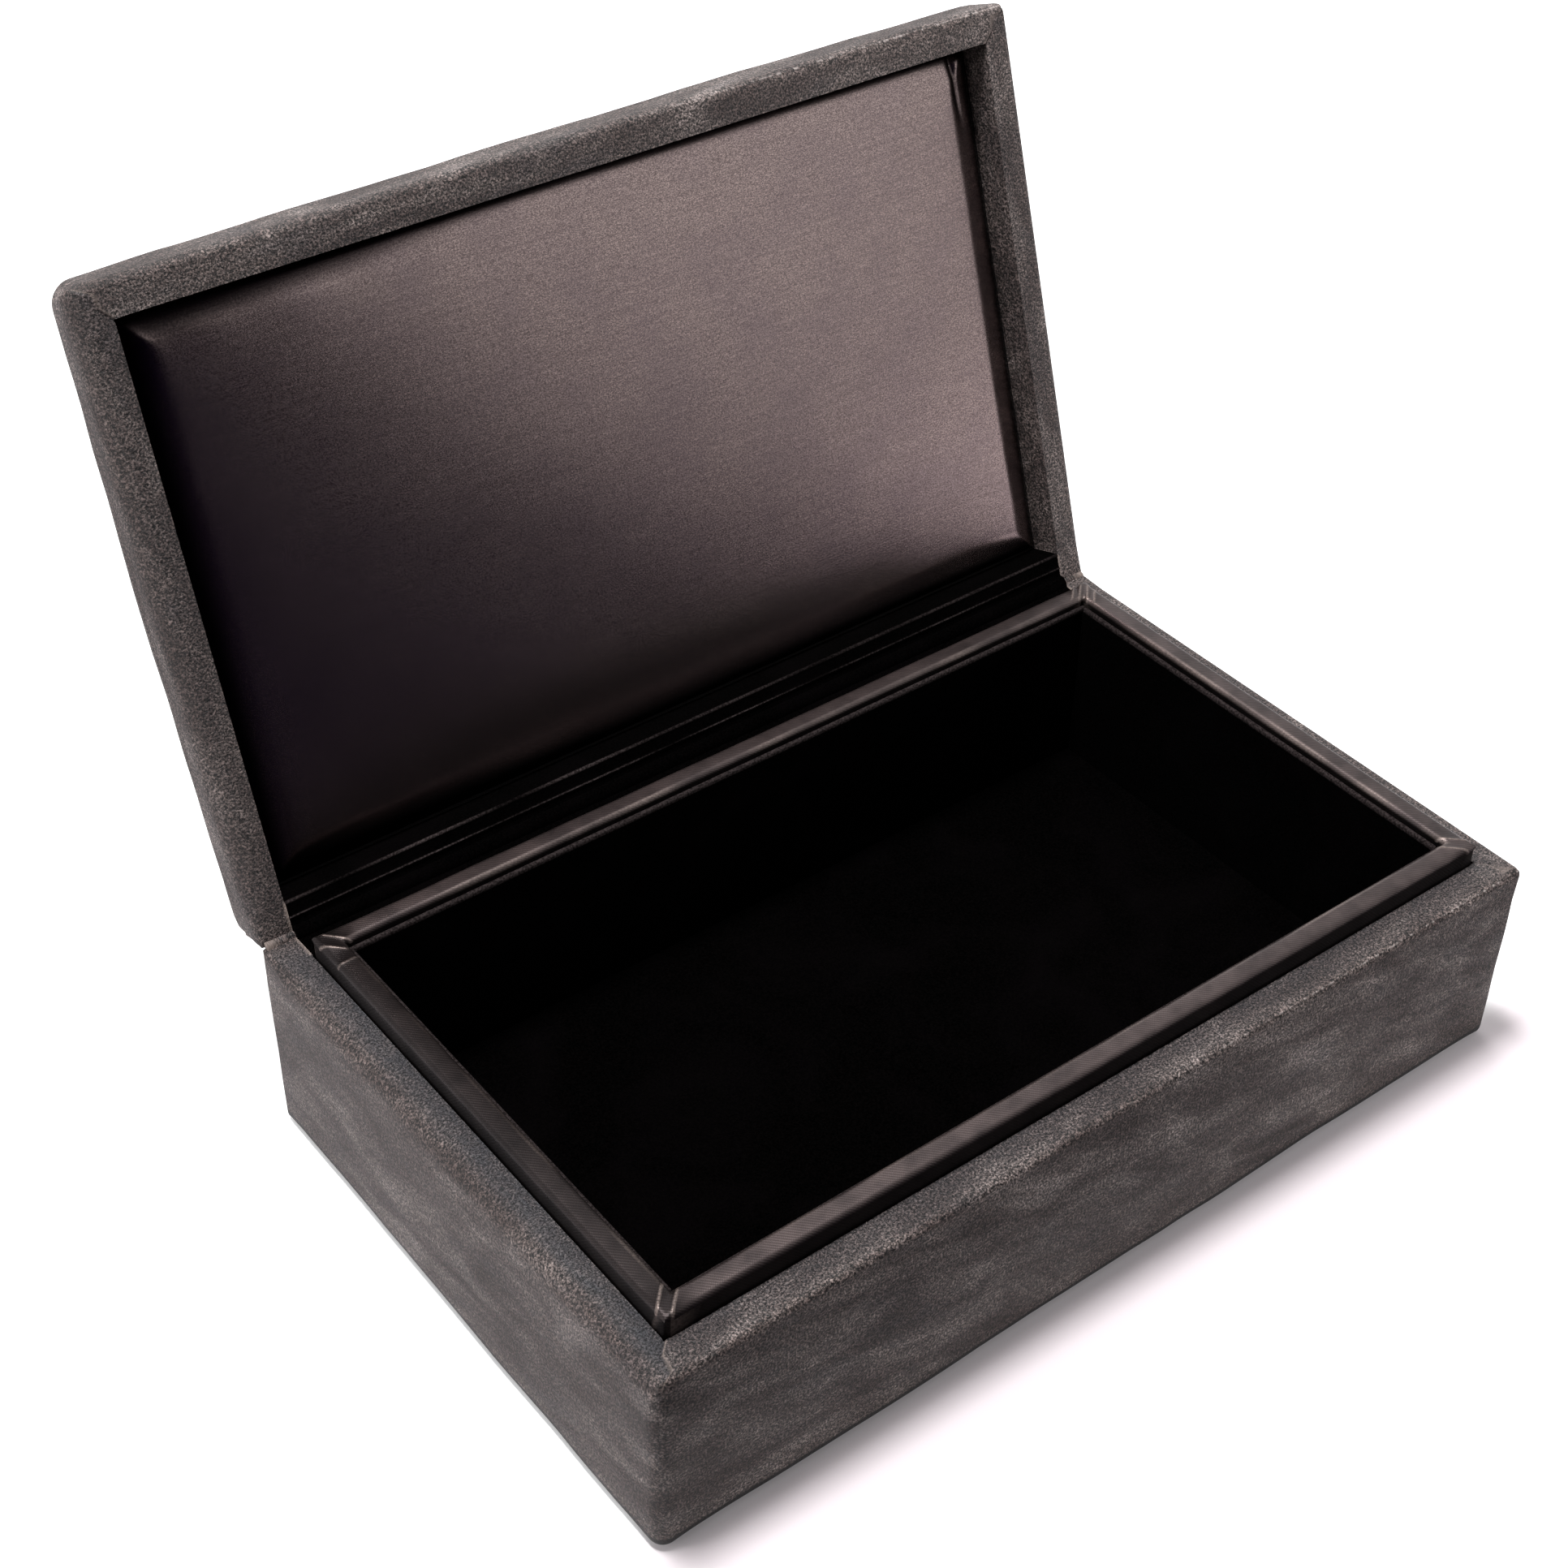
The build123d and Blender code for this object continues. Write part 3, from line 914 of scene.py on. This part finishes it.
thicken(strip, strip_thickness)
smooth(60)
put(strip, in_place, None, velvet, "hinge_strip")
bend_at_hinge(strip)


# Lip: shielding twill folded over the inner walls
def rolled_edge(edge):
    """The lip's top edges: the outer run, and the inner run between its corners."""
    x, y = abs(middle(edge).x), abs(middle(edge).y)
    outer = near(x, lip_x) or near(y, lip_y)
    inner = near(x, hollow_x) and y < hollow_y or near(y, hollow_y) and x < hollow_x
    return near(middle(edge).z, lip_top) and (outer or inner)


def corner_edge(edge):
    """The lip's upright outer corners."""
    x, y = abs(middle(edge).x), abs(middle(edge).y)
    upright = abs(edge.verts[0].co.z - edge.verts[1].co.z) > 5 * mm
    return upright and near(x, lip_x, 1.2 * mm) and near(y, lip_y, 1.2 * mm)


def lip_corner(across_x, across_y):
    return Vector((across_x * lip_x, across_y * lip_y, 0))


def high_on_lip(face):
    return face.calc_center_median().z > lip_top - 4 * mm


# Places of the folds beside each corner, in mm from its seam
fold_lines = {
    (-1, -1): (-1.5, 1.0),
    (1, -1): (-1.0, 1.6),
    (-1, 1): (-1.9, 0.8),
    (1, 1): (-2.2, -0.7, 0.9, 2.4),
}
beside_fold = (-0.45, -0.2, 0.05, 0.3)


def lip_mark(place):
    """How much a frayed fold or cut edge shows at a place on the lip."""
    key = (1 if place.x > 0 else -1, 1 if place.y > 0 else -1)
    corner = lip_corner(*key)
    past = (abs(place.x - corner.x) - abs(place.y - corner.y)) / math.sqrt(2) / mm
    shown = 0.0
    if (place - corner).xy.length < 7.5 * mm:
        for line in fold_lines[key]:
            shown = max(shown, 1 - abs(past - line + 0.07) / 0.3)
    if place.x < 0 and place.y > 0 and abs(place.x) > hollow_x - 0.5 * mm:
        shown = max(shown, 0.8 - abs(place.y - lip_overlap + 0.07 * mm) / (0.3 * mm))
    inner = max(abs(place.x) - hollow_x, abs(place.y) - hollow_y)
    if lip_top - 0.9 * mm < place.z < lip_top - 0.02 * mm and inner < 1 * mm:
        shown = max(shown, 0.15 + 0.5 * uneven(*place * 90))
    return max(0.0, shown) * ease(place.z, lip_top - 3.5 * mm, lip_top - 1 * mm)


def lip_shade(place):
    """The lip's sides stand in shade, and its left run down to its top, a little less."""
    side = 1 - ease(place.z, lip_top - 1.3 * mm, lip_top - 0.4 * mm)
    on_left = place.x < 0.5 * mm - hollow_x
    return max(0.96 * side, 0.72 * on_left)


def lip_folds(place, normal):
    """Thickness of the folded cloth at the corners, and its slight unevenness along the top."""
    bumps = 0.1 * uneven(*place * 70) + 0.05 * uneven(*place * 210)
    corner_x = clamp((abs(place.x) - lip_x) / (3 * mm) + 1)
    corner_y = clamp((abs(place.y) - lip_y) / (3 * mm) + 1)
    fuller = 0.35 * corner_x * corner_y * ease(place.z, 42.6 * mm, 43.8 * mm)
    high = ease(place.z, lip_top - 5 * mm, lip_top - 1 * mm)
    most = 0.12 + 0.3 * max(0.0, normal.z)
    return normal * mm * min(most, high * (0.22 * lip_mark(place) + bumps) + fuller)


lip = block("lip_twill", (-lip_x, -lip_y, lip_cloth_bottom), (lip_x, lip_y, lip_top))
open_up(lip, looks_up, lip_x - hollow_x, lip_cloth_bottom - lip_top)
delete_faces(lip, looks_down)
choose(lip, "EDGE", rolled_edge)
bevel(1.1 * mm, 4)
choose(lip, "EDGE", corner_edge)
bevel(0.9 * mm, 4)
cut_grid(hollow_x, hollow_y, 3 * mm)
for (across_x, across_y), lines in fold_lines.items():
    corner = lip_corner(across_x, across_y)
    cut_faces(
        lip,
        lambda face: high_on_lip(face) and (face.calc_center_median() - corner).xy.length < 9 * mm,
        corner,
        Vector((across_y, -across_x, 0)).normalized() * -across_x * across_y,
        [line + beside for line in lines for beside in beside_fold],
    )
cut_faces(
    lip,
    lambda face: high_on_lip(face) and face.calc_center_median().x < 0,
    Vector((0, lip_overlap, 0)),
    Vector((0, 1, 0)),
    beside_fold,
)
close_outwards()
write_mark(lip, "pale_edge", lip_mark)
# Painted shade on the lip's sides and its left run.
write_mark(lip, "painted_shade", lip_shade)
shift_points(lip, lip_folds)
thicken(lip, cloth_thickness)
smooth(50)
put(lip, in_place, "box", twill, "lip_shield_cover")


# Velvet lining
def soft_sheet(name, low, high, edge, top_cuts=()):
    """Sheet of pile or card with soft edges, and cuts at these depths under its top."""
    piece = block(name, low, high)
    choose_all()
    bevel(edge, 3)
    cut_evenly(low, high, 5 * mm, 10 * mm)
    cut_across((0, 0, 1), [high[2] - depth for depth in top_cuts])
    close()
    smooth(60)
    return piece


for side in ("front", "back", "left", "right"):
    low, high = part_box(f"{side}_velvet_panel")
    panel = soft_sheet(f"{side}_velvet", low, high, 0.45 * mm, (0.7 * mm, 1 * mm))
    # Painted sheen along each panel's top edge.
    painted_sheen_top = high.z - 0.8 * mm
    write_mark(panel, "pale_edge", lambda place: 0.4 if place.z > painted_sheen_top else 0.0)
    put(panel, in_place, "box", velvet, f"{side}_velvet_panel")
low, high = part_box("floor_velvet")
floor_pile = soft_sheet("floor_pile", low, high, 0.4 * mm)
put(floor_pile, in_place, "box", velvet, "floor_velvet")

# Shielding tray behind the velvet
low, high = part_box("shield_tray")
tray = block("shield_tray_cloth", low, high)
delete_faces(tray, looks_up)
choose(tray, "EDGE", lambda edge: middle(edge).z < high.z - 1 * mm)
bevel(0.8 * mm, 3)
cut_grid(high.x, high.y, 8 * mm)
close()
thicken(tray, cloth_thickness)
smooth()
put(tray, in_place, "box", lining, "shield_tray")


# Foam in the walls and the lid
def under_leather(spot, depth, far_depth):
    """Nearest place inside the rounded leather: depth is below the rim."""
    inside = soft_edge - leather_thickness - 0.15 * mm
    core_x, core_y = half_length - soft_edge, half_width - soft_edge
    core = Vector(
        (
            max(-core_x, min(core_x, spot.x)),
            max(-core_y, min(core_y, spot.y)),
            max(soft_edge, min(far_depth - soft_edge, depth)),
        )
    )
    reach = Vector((spot.x, spot.y, depth)) - core
    if reach.length > inside:
        reach *= inside / reach.length
    return core + reach


def foam_pad(name, low, high, outside, body, node):
    """Foam behind the leather: rounded on its outside, and a little fuller in the middle."""
    low, high, outside = Vector(low), Vector(high), Vector(outside)
    size, centre = high - low, (low + high) / 2

    def outline(edge):
        return sum(face.normal.dot(outside) > 0.9 for face in edge.link_faces) == 1

    def fuller(spot, normal):
        share = 1.0
        for axis in range(3):
            if abs(outside[axis]) < 0.5:
                share *= 1 - (2 * (spot[axis] - centre[axis]) / size[axis]) ** 2
        return outside * 0.15 * mm * max(0.0, share) * max(0.0, normal.dot(outside))

    pad = block(name, low, high)
    choose(pad, "EDGE", outline)
    bevel(1.8 * mm, 4)
    cut_evenly(low, high, 6 * mm, 12 * mm)
    close()
    shift_points(pad, fuller)
    for point in pad.data.vertices:
        if body == "lid":
            point.co = under_leather(point.co, point.co.z, lid_thickness)
        else:
            point.co = under_leather(point.co, box_height - point.co.z, 2 * box_height)
            point.co.z = box_height - point.co.z
    smooth(50)
    put(pad, on_lid if body == "lid" else in_place, body, foam, node)


outside_of = {"front": (0, -1, 0), "back": (0, 1, 0), "left": (-1, 0, 0), "right": (1, 0, 0)}
far_x, far_y = half_length - leather_thickness, half_width - leather_thickness
pad_x, pad_y = half_length - pad_inset, half_width - pad_inset
low_z, high_z = lid_pad_levels
for side, outside in outside_of.items():
    low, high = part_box(f"{side}_foam_pad")
    foam_pad(f"{side}_foam", low, high, outside, "box", f"{side}_foam_pad")
    if outside[1]:
        near_y, distant_y = sorted((outside[1] * far_y, outside[1] * pad_y))
        low, high = (-far_x, near_y, low_z), (far_x, distant_y, high_z)
    else:
        near_x, distant_x = sorted((outside[0] * far_x, outside[0] * pad_x))
        low, high = (near_x, -pad_y, low_z), (distant_x, pad_y, high_z)
    foam_pad(f"lid_{side}_pad", low, high, outside, "lid", f"lid_{side}_foam")
low_z, high_z = top_pad_levels
low, high = (-far_x, -far_y, low_z), (far_x, far_y, high_z)
foam_pad("lid_top_pad", low, high, (0, 0, 1), "lid", "lid_top_foam")


# Inside of the lid: shielding cloth, and the cushion on its card
def lid_sheet(name, inset, levels, edge):
    """Flat sheet inside the lid."""
    half_x, half_y = half_length - inset, half_width - inset
    low_z, high_z = levels
    return soft_sheet(name, (-half_x, -half_y, low_z), (half_x, half_y, high_z), edge)


def crown_at(place):
    """Share of the cushion's full height at a place on the lid."""
    along = max(0.0, 1 - (place.x / (half_length - cushion_inset)) ** 4)
    across = max(0.0, 1 - (place.y / (half_width - cushion_inset)) ** 2)
    return along * across


def cushion_block(name, inset, base, shoulder, spacing, roundness, edge_cuts=()):
    """Flat pad on the lid with a fine mesh, rounded shoulders and sides drawn in."""
    half_x, half_y = half_length - inset, half_width - inset

    def shoulder_edge(edge):
        place = middle(edge)
        outer = near(abs(place.x), half_x) or near(abs(place.y), half_y)
        return near(place.z, shoulder) and outer

    def drawn_in(place, normal):
        along = 1 - (place.x / half_x) ** 2
        across = 1 - (place.y / half_y) ** 2
        high = min(1.0, (base - place.z) / (base - shoulder)) ** 3
        way = (-0.4 * mm * across * place.x / half_x, -0.5 * mm * along * place.y / half_y, 0)
        return Vector(way) * high

    pad = begin(
        bpy.ops.mesh.primitive_grid_add,
        name,
        (half_x, half_y, 1),
        x_subdivisions=round(2 * half_x / spacing),
        y_subdivisions=round(2 * half_y / spacing),
        size=2,
        location=(0, 0, base),
    )
    choose_all()
    extrude(0, 0, shoulder - base)
    choose(pad, "EDGE", shoulder_edge)
    bevel(roundness, 5)
    for direction, half in (((1, 0, 0), half_x), ((0, 1, 0), half_y)):
        for side in (-1, 1):
            cut_across(direction, [side * (half - beside) for beside in edge_cuts])
    close_outwards()
    shift_points(pad, drawn_in)
    return pad


def swell(piece, held, most):
    """Press the cover out with air from where it is held, as cloth, and cap each point's way."""
    before = [point.co.copy() for point in piece.data.vertices]
    group = piece.vertex_groups.new(name="held")
    group.add([index for index, place in enumerate(before) if held(place)], 1.0, "REPLACE")
    cloth = piece.modifiers.new("swell", "CLOTH")
    cloth.settings.quality = 5
    cloth.settings.mass = 0.1
    cloth.settings.tension_stiffness = 12
    cloth.settings.compression_stiffness = 12
    cloth.settings.bending_stiffness = 3
    cloth.settings.vertex_group_mass = "held"
    cloth.settings.use_pressure = True
    cloth.settings.uniform_pressure_force = 4
    cloth.settings.effector_weights.gravity = 0
    cloth.collision_settings.use_collision = False
    cloth.collision_settings.use_self_collision = False
    for step in range(swell_steps):
        bpy.context.scene.frame_set(step + 1)
    bpy.ops.object.modifier_apply(modifier=cloth.name)
    bpy.context.scene.frame_set(1)
    for point, place in zip(piece.data.vertices, before):
        way = point.co - place
        limit = most(place)
        if way.length > 1e-9:
            point.co = place + way * limit * math.tanh(way.length / max(limit, 1e-6)) / way.length
    bpy.ops.object.mode_set(mode="EDIT")
    choose(piece, "VERT", lambda point: point.co.z < cushion_shoulder + 0.9 * mm)
    bpy.ops.mesh.vertices_smooth(factor=0.5, repeat=12)
    close()


def top_pucker(place):
    """Share of the deep crease that runs down beside the cushion's right edge from its front."""
    from_end = half_length - cushion_inset - place.x
    from_front = place.y + half_width - cushion_inset
    if from_front > 20 * mm or from_front < 0.5 * mm:
        return 0.0
    centre = 4.2 * mm + 0.5 * mm * math.sin(from_front / (4 * mm))
    return (1 - ease(from_front, 9 * mm, 19 * mm)) * bell(from_end, centre, 0.75 * mm)


def puckers(place, normal):
    """Pinched corners of the cushion, deepest at the front right, and ripples along its edges."""
    corner_x, corner_y = half_length - cushion_inset, half_width - cushion_inset
    shift = 0.0
    for across_x, across_y, depth in ((1, -1, 0.7), (-1, -1, 0.3), (1, 1, 0.3), (-1, 1, 0.5)):
        arm = place.xy - Vector((across_x * corner_x, across_y * corner_y))
        turn = math.atan2(-arm.y * across_y, -arm.x * across_x)
        fade = math.exp(-arm.length / (8 * mm)) * min(1.0, arm.length / (2.5 * mm))
        shift += depth * fade * math.sin(5 * turn + 0.6)
    inset = min(inset_of(place, cushion_inset))
    shift += 1.6 * (1 - ease(inset, 1 * mm, 7 * mm))
    shift += 1.1 * top_pucker(place)
    shift += 0.4 * math.exp(-inset / (5 * mm)) * uneven(place.x * 90, place.y * 90, 2)
    shift += 0.15 * uneven(place.x * 30, place.y * 45, 0)
    height = (cushion_base - place.z) / (cushion_base - cushion_shoulder)
    return Vector((0, 0, 0.45 * mm * shift * clamp(height)))


def cushion_shade(place):
    """The cushion's edges are dark, widest at its left, and so is its crease."""
    reach = (3 - 2 * ease(place.x, -half_length, 0)) * mm
    edge_dark = 1 - ease(min(inset_of(place, cushion_inset)), 0.7 * reach, 3 * reach)
    return max(edge_dark, 0.8 * top_pucker(place))


backing = lid_sheet("lid_shield_cloth", lining_inset, lining_levels, 0.1 * mm)
put(backing, on_lid, "lid", lining, "lid_shield_sheet")

cushion = cushion_block(
    "lid_cushion",
    cushion_inset,
    cushion_base,
    cushion_shoulder,
    2.6 * mm,
    1.9 * mm,
    [(2.7 + 0.45 * step) * mm for step in range(9)],
)
swell(
    cushion,
    lambda place: place.z > cushion_base - 0.3 * mm,
    lambda place: 0.15 * mm + cushion_crown * crown_at(place),
)
# Painted shade at the cushion's edges and in its crease.
write_mark(cushion, "painted_shade", cushion_shade)
shift_points(cushion, puckers)
smooth(60)
put(cushion, on_lid, "lid", satin, "cushion_cover")

filling = cushion_block(
    "lid_cushion_foam", filling_inset, filling_base, filling_shoulder, 4 * mm, 0.6 * mm
)
crown(filling, filling_crown, crown_at)
smooth(60)
put(filling, on_lid, "lid", foam, "cushion_foam")

# The cushion's card is a little smaller than its solid, so that the cloth hides its edge
cushion_card = lid_sheet("cushion_card", card_inset, card_levels, 0.15 * mm)
put(cushion_card, on_lid, "lid", grey, "cushion_board")

# Boards and covers that keep their solids
kept_finishes = {"base_cover": cover_sheet}
kept_finishes.update({node: grey for node in ("base_board", "floor_board", "lid_top_board")})
for side in outside_of:
    for node in (f"{side}_wall_board", f"{side}_lip_board", f"lid_{side}_rail"):
        kept_finishes[node] = fibre
for node, finish in kept_finishes.items():
    dress(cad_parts[node], finish)


# Floor, light and camera
def table_white(nodes):
    """White floor that glows, except in front of the box, where it keeps its shadow and its colour
    is painted a darker mauve, as a painted contact shadow.
    """
    camera, seen = nodes.rays()
    spot = nodes.place()
    before = nodes.vector_sums("DOT_PRODUCT", spot, (0, -1, 0))
    # Painted contact shadow: a darker mauve band just in front of the box, where the glow is also
    # taken away.
    in_front = nodes.ramp(before, (0.052, 0.0), (0.06, 1.0), (0.08, 1.0), (0.12, 0.0))
    shown = nodes.mix(in_front, (1, 1, 1, 1), (0.8, 0.73, 0.76, 1))
    off_camera = nodes.mix(seen, (0.24, 0.24, 0.24, 1), (1, 0.96, 0.985, 1))
    far_off = nodes.ramp(nodes.vector_sums("LENGTH", spot), (0.25, 0.0), (0.8, 1.0))
    glow = nodes.sums("MAXIMUM", nodes.times(in_front, -0.3, 0.3), far_off)
    return {
        "Base Color": nodes.mix(camera, off_camera, shown),
        "Emission Color": (1, 1, 1, 1),
        "Emission Strength": nodes.times(glow, camera),
        "Roughness": 0.9,
        "Specular IOR Level": 0.1,
    }


def card_black(nodes):
    """Black that takes no shine."""
    black = (0.006, 0.002, 0.016, 1)
    return {"Base Color": black, "Roughness": 1.0, "Specular IOR Level": 0.0}


def softbox(name, place, aim, width, height, watts):
    """Large soft lamp that looks at a point."""
    light = bpy.data.lights.new(name, "AREA")
    light.shape = "RECTANGLE"
    light.size, light.size_y = width, height
    light.energy = watts
    lamp = bpy.data.objects.new(name, light)
    lamp.location = place
    lamp.rotation_euler = (Vector(aim) - Vector(place)).to_track_quat("-Z", "Y").to_euler()
    bpy.context.scene.collection.objects.link(lamp)
    return lamp


table = begin(add_plane, "table", size=12)
close()
dress(table, new_finish(table_white))

# Dark card in front of the box, to the left, which only shows in sheens. Its free edge leans.
card = begin(add_plane, "dark_card", (1.16, 0.37, 1), size=1, location=(-0.22, -0.265, 0.002))
choose(card, "VERT", lambda point: point.co.x > 0 and point.co.y > -0.1)
bpy.ops.transform.translate(value=(-0.01, 0, 0))
for rise, lean_left in ((0.2, 0.15), (0.9, 0.0)):
    highest = max(point.co.z for point in bmesh.from_edit_mesh(card.data).verts)
    choose(
        card,
        "EDGE",
        lambda edge: middle(edge).y < -0.44 and near(middle(edge).z, highest, 1 * mm),
    )
    extrude(0, 0, rise)
    choose(card, "VERT", lambda point: point.co.z > highest + 0.1 and point.co.x > -0.5)
    bpy.ops.transform.translate(value=(-lean_left, 0, 0))
close()
dress(card, new_finish(card_black))
card.visible_camera = card.visible_diffuse = False
card.visible_shadow = card.visible_transmission = False

softbox("top_light", (-0.2, 0.12, 1.5), (0, 0, 0), 0.3, 0.22, 25)
softbox("back_light", (0.5, 1.2, 0.9), (0, 0, 0.05), 0.9, 0.6, 6)
softbox("left_light", (-1.4, 0.2, 0.7), (0, 0, 0.05), 1.0, 0.9, 7)
front_light = softbox("front_light", (0.45, -0.3, 0.09), (0.05, 0, 0.03), 0.3, 0.15, 1.4)
front_light.visible_glossy = False

scene = bpy.context.scene
scene.world = bpy.data.worlds.new("studio")
nodes = Nodes(scene.world)
strength = nodes.times(nodes.rays()[1], 0.74, 0.26)
background = {"Color": (1, 1, 1, 1), "Strength": strength}
nodes.feed_all(nodes.tree.nodes["Background"], background)

camera_data = bpy.data.cameras.new("camera")
camera_data.lens = 59.32
camera_data.sensor_width = 36
camera_data.sensor_fit = "HORIZONTAL"
camera_data.clip_start = 0.01
camera = bpy.data.objects.new("camera", camera_data)
camera.location = (-0.23706, -0.26213, 0.35883)
camera.rotation_euler = [math.radians(angle) for angle in (50.8484, -0.8572, -37.6718)]
scene.collection.objects.link(camera)
scene.camera = camera
scene.view_settings.view_transform = "Standard"
